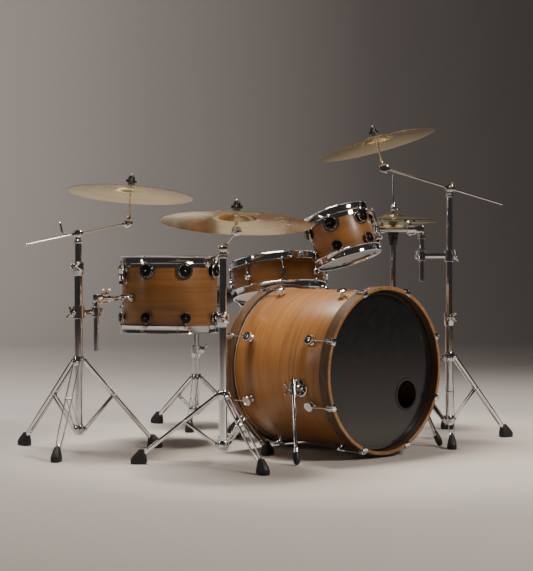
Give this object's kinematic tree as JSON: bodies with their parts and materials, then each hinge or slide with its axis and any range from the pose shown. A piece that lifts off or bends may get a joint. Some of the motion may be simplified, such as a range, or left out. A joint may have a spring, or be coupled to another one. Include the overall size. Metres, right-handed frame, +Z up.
{
  "type": "acoustic drum kit",
  "caption": "Acoustic drum kit on chrome stands: bass drum, hung floor tom and rack tom, snare, hi-hat, crashes, ride and throne.",
  "frame": {"origin": "on the floor, under the middle of the kit's footprint box", "axes": "+Z up; the bass drum's axis lies along Y with its front head towards -Y; the player sits on the +Y side; +X is the player's left"},
  "size_m": [1.8062, 1.4748, 1.1989],
  "materials": {
    "honey_wood": "satin lacquer",
    "hoop_wood": "satin lacquer",
    "chrome": "polished",
    "bronze": "lathed",
    "black_skin": "gloss",
    "white_skin": "coated",
    "seat_vinyl": "grained vinyl"
  },
  "bodies": {
    "floor_standing": {"bass_shell": "honey_wood", "bass_batter_head": "white_skin", "bass_front_head": "black_skin", "bass_front_hoop": "hoop_wood", "bass_rear_hoop": "hoop_wood", "left_spur_bracket": "chrome", "right_spur_bracket": "chrome", "kick_pedal_frame": "chrome", "left_stand_base": "chrome", "ride_stand_base": "chrome", "right_stand_base": "chrome", "snare_stand_base": "chrome", "throne_base": "chrome", "hi_hat_base": "chrome", "hi_hat_bottom": "bronze"},
    "left_spur": {"left_spur_leg": "chrome"},
    "right_spur": {"right_spur_leg": "chrome"},
    "kick_beater_body": {"kick_beater": "chrome"},
    "kick_board": {"kick_footboard": "chrome"},
    "floor_tom_clamp": {"floor_tom_arm_clamp": "chrome"},
    "floor_tom_rod": {"floor_tom_arm_rod": "chrome"},
    "floor_tom": {"floor_tom_shell": "honey_wood", "floor_tom_batter_head": "white_skin", "floor_tom_resonant_head": "black_skin", "floor_tom_top_hoop": "chrome", "floor_tom_bottom_hoop": "chrome", "floor_tom_bracket": "chrome"},
    "rack_tom_clamp": {"rack_tom_arm_clamp": "chrome"},
    "rack_tom_rod": {"rack_tom_arm_rod": "chrome"},
    "rack_tom": {"rack_tom_shell": "honey_wood", "rack_tom_batter_head": "white_skin", "rack_tom_resonant_head": "black_skin", "rack_tom_top_hoop": "chrome", "rack_tom_bottom_hoop": "chrome", "rack_tom_bracket": "chrome"},
    "snare_post_body": {"snare_post": "chrome"},
    "snare": {"snare_basket": "chrome", "snare_shell": "honey_wood", "snare_batter_head": "white_skin", "snare_resonant_head": "white_skin", "snare_top_hoop": "chrome", "snare_bottom_hoop": "chrome"},
    "snare_lever_body": {"snare_lever": "chrome"},
    "hi_hat_pull": {"hi_hat_pull_rod": "chrome", "hi_hat_top": "bronze"},
    "hi_hat_board": {"hi_hat_footboard": "chrome"},
    "throne_post_body": {"throne_post": "chrome"},
    "throne_seat_body": {"throne_seat": "seat_vinyl"},
    "left_upper": {"left_stand_upper_tube": "chrome"},
    "left_boom": {"left_stand_boom_arm": "chrome"},
    "left_seat": {"left_stand_cymbal_seat": "chrome"},
    "left_crash_body": {"left_crash": "bronze"},
    "ride_upper": {"ride_stand_upper_tube": "chrome"},
    "ride_boom": {"ride_stand_boom_arm": "chrome"},
    "ride_seat": {"ride_stand_cymbal_seat": "chrome"},
    "ride_body": {"ride": "bronze"},
    "right_upper": {"right_stand_upper_tube": "chrome"},
    "right_boom": {"right_stand_boom_arm": "chrome"},
    "right_seat": {"right_stand_cymbal_seat": "chrome"},
    "right_crash_body": {"right_crash": "bronze"}
  },
  "joints": [
    {"name": "left_spur_slide", "type": "slide", "parent": "floor_standing", "child": "left_spur", "axis": [0.2464, 0.3098, 0.9183], "range_m": [0, 0.035]},
    {"name": "right_spur_slide", "type": "slide", "parent": "floor_standing", "child": "right_spur", "axis": [-0.2464, 0.3098, 0.9183], "range_m": [0, 0.035]},
    {"name": "kick_footboard_hinge", "type": "hinge", "parent": "floor_standing", "child": "kick_board", "pos_m": [0.02314, 0.07882, 0.016], "axis": [1, 0, 0], "range_deg": [0, 12], "stiffness_Nm_per_rad": 4, "springref_deg": -20.05},
    {"name": "kick_beater_swing", "type": "hinge", "parent": "floor_standing", "child": "kick_beater_body", "pos_m": [0.02314, -0.12118, 0.205], "axis": [1, 0, 0], "range_deg": [0, 57], "stiffness_Nm_per_rad": 0.4, "springref_deg": -28.65},
    {"name": "left_stand_height", "type": "slide", "parent": "floor_standing", "child": "left_upper", "axis": [0, 0, 1], "range_m": [0, 0.09]},
    {"name": "left_stand_boom_tilt", "type": "hinge", "parent": "left_upper", "child": "left_boom", "pos_m": [-0.64286, 0.18782, 0.785], "axis": [-0.4311, -0.9023, 0], "range_deg": [-8, 20]},
    {"name": "left_stand_cymbal_tilt", "type": "hinge", "parent": "left_boom", "child": "left_seat", "pos_m": [-0.47536, 0.10786, 0.82566], "axis": [0.4471, 0.8896, -0.0937], "range_deg": [-12, 12]},
    {"name": "left_crash_rock", "type": "hinge", "parent": "left_seat", "child": "left_crash_body", "pos_m": [-0.45768, 0.11338, 0.96241], "axis": [0.4471, 0.8896, -0.0937], "range_deg": [-7, 7], "stiffness_Nm_per_rad": 4},
    {"name": "ride_stand_height", "type": "slide", "parent": "floor_standing", "child": "ride_upper", "axis": [0, 0, 1], "range_m": [-0.02, 0.09]},
    {"name": "ride_stand_boom_tilt", "type": "hinge", "parent": "ride_upper", "child": "ride_boom", "pos_m": [-0.50286, -0.43018, 0.733], "axis": [-0.6955, -0.7185, 0], "range_deg": [-20, 2]},
    {"name": "ride_stand_cymbal_tilt", "type": "hinge", "parent": "ride_boom", "child": "ride_seat", "pos_m": [-0.47107, -0.46048, 0.79387], "axis": [0.8084, 0.5709, -0.1436], "range_deg": [-12, 12]},
    {"name": "ride_rock", "type": "hinge", "parent": "ride_seat", "child": "ride_body", "pos_m": [-0.46307, -0.45587, 0.8572], "axis": [0.8084, 0.5709, -0.1436], "range_deg": [-7, 7], "stiffness_Nm_per_rad": 4},
    {"name": "right_stand_height", "type": "slide", "parent": "floor_standing", "child": "right_upper", "axis": [0, 0, 1], "range_m": [0, 0.09]},
    {"name": "right_stand_boom_tilt", "type": "hinge", "parent": "right_upper", "child": "right_boom", "pos_m": [0.57514, -0.52918, 0.961], "axis": [0.6955, 0.7185, 0], "range_deg": [-8, 20]},
    {"name": "right_stand_cymbal_tilt", "type": "hinge", "parent": "right_boom", "child": "right_seat", "pos_m": [0.39484, -0.35473, 1.0365], "axis": [-0.6728, -0.7344, 0.0893], "range_deg": [-12, 12]},
    {"name": "right_crash_rock", "type": "hinge", "parent": "right_seat", "child": "right_crash_body", "pos_m": [0.37897, -0.32516, 1.16003], "axis": [-0.6728, -0.7344, 0.0893], "range_deg": [-7, 7], "stiffness_Nm_per_rad": 4},
    {"name": "floor_tom_arm_swing", "type": "hinge", "parent": "floor_standing", "child": "floor_tom_clamp", "pos_m": [-0.64286, 0.18782, 0.502], "axis": [0, 0, 1], "range_deg": [-10, 18]},
    {"name": "floor_tom_arm_height", "type": "slide", "parent": "floor_tom_clamp", "child": "floor_tom_rod", "axis": [0, 0, 1], "range_m": [-0.012, 0.02]},
    {"name": "floor_tom_tilt", "type": "hinge", "parent": "floor_tom_rod", "child": "floor_tom", "pos_m": [-0.22397, 0.17172, 0.55], "axis": [-0.9993, 0.0384, 0], "range_deg": [-10, 10]},
    {"name": "rack_tom_arm_swing", "type": "hinge", "parent": "right_upper", "child": "rack_tom_clamp", "pos_m": [0.57514, -0.52918, 0.705], "axis": [0, 0, 1], "range_deg": [-3, 15]},
    {"name": "rack_tom_arm_height", "type": "slide", "parent": "rack_tom_clamp", "child": "rack_tom_rod", "axis": [0, 0, 1], "range_m": [0, 0.03]},
    {"name": "rack_tom_tilt", "type": "hinge", "parent": "rack_tom_rod", "child": "rack_tom", "pos_m": [0.25596, -0.25988, 0.80443], "axis": [0.7643, -0.6449, 0], "range_deg": [-8, 8]},
    {"name": "snare_height", "type": "slide", "parent": "floor_standing", "child": "snare_post_body", "axis": [0, 0, 1], "range_m": [-0.03, 0.01]},
    {"name": "snare_tilt", "type": "hinge", "parent": "snare_post_body", "child": "snare", "pos_m": [0.2508, 0.04132, 0.43069], "axis": [-0.9658, 0.2595, 0], "range_deg": [-5, 5]},
    {"name": "snare_lever_hinge", "type": "hinge", "parent": "snare", "child": "snare_lever_body", "pos_m": [0.16467, 0.24223, 0.5695], "axis": [-0.8691, -0.4729, 0.1452], "range_deg": [0, 75]},
    {"name": "hi_hat_footboard_hinge", "type": "hinge", "parent": "floor_standing", "child": "hi_hat_board", "pos_m": [0.56419, 0.07927, 0.016], "axis": [0.7618, 0.6478, 0], "range_deg": [0, 1.69], "stiffness_Nm_per_rad": 4, "springref_deg": -20.05},
    {"name": "hi_hat_pull_slide", "type": "slide", "parent": "floor_standing", "child": "hi_hat_pull", "axis": [0, 0, 1], "range_m": [-0.0066, 0], "stiffness_N_per_m": 500, "springref_m": 0.05},
    {"name": "throne_height", "type": "slide", "parent": "floor_standing", "child": "throne_post_body", "axis": [0, 0, 1], "range_m": [-0.06, 0.06]},
    {"name": "throne_spin", "type": "hinge", "parent": "throne_post_body", "child": "throne_seat_body", "pos_m": [0.20314, 0.50382, 0.494], "axis": [0, 0, 1], "continuous": true}
  ],
  "couplings": [
    {"joint": "kick_beater_swing", "follows": "kick_footboard_hinge", "ratio": 4.75},
    {"joint": "hi_hat_pull_slide", "follows": "hi_hat_footboard_hinge", "m_per_rad": -0.22}
  ]
}
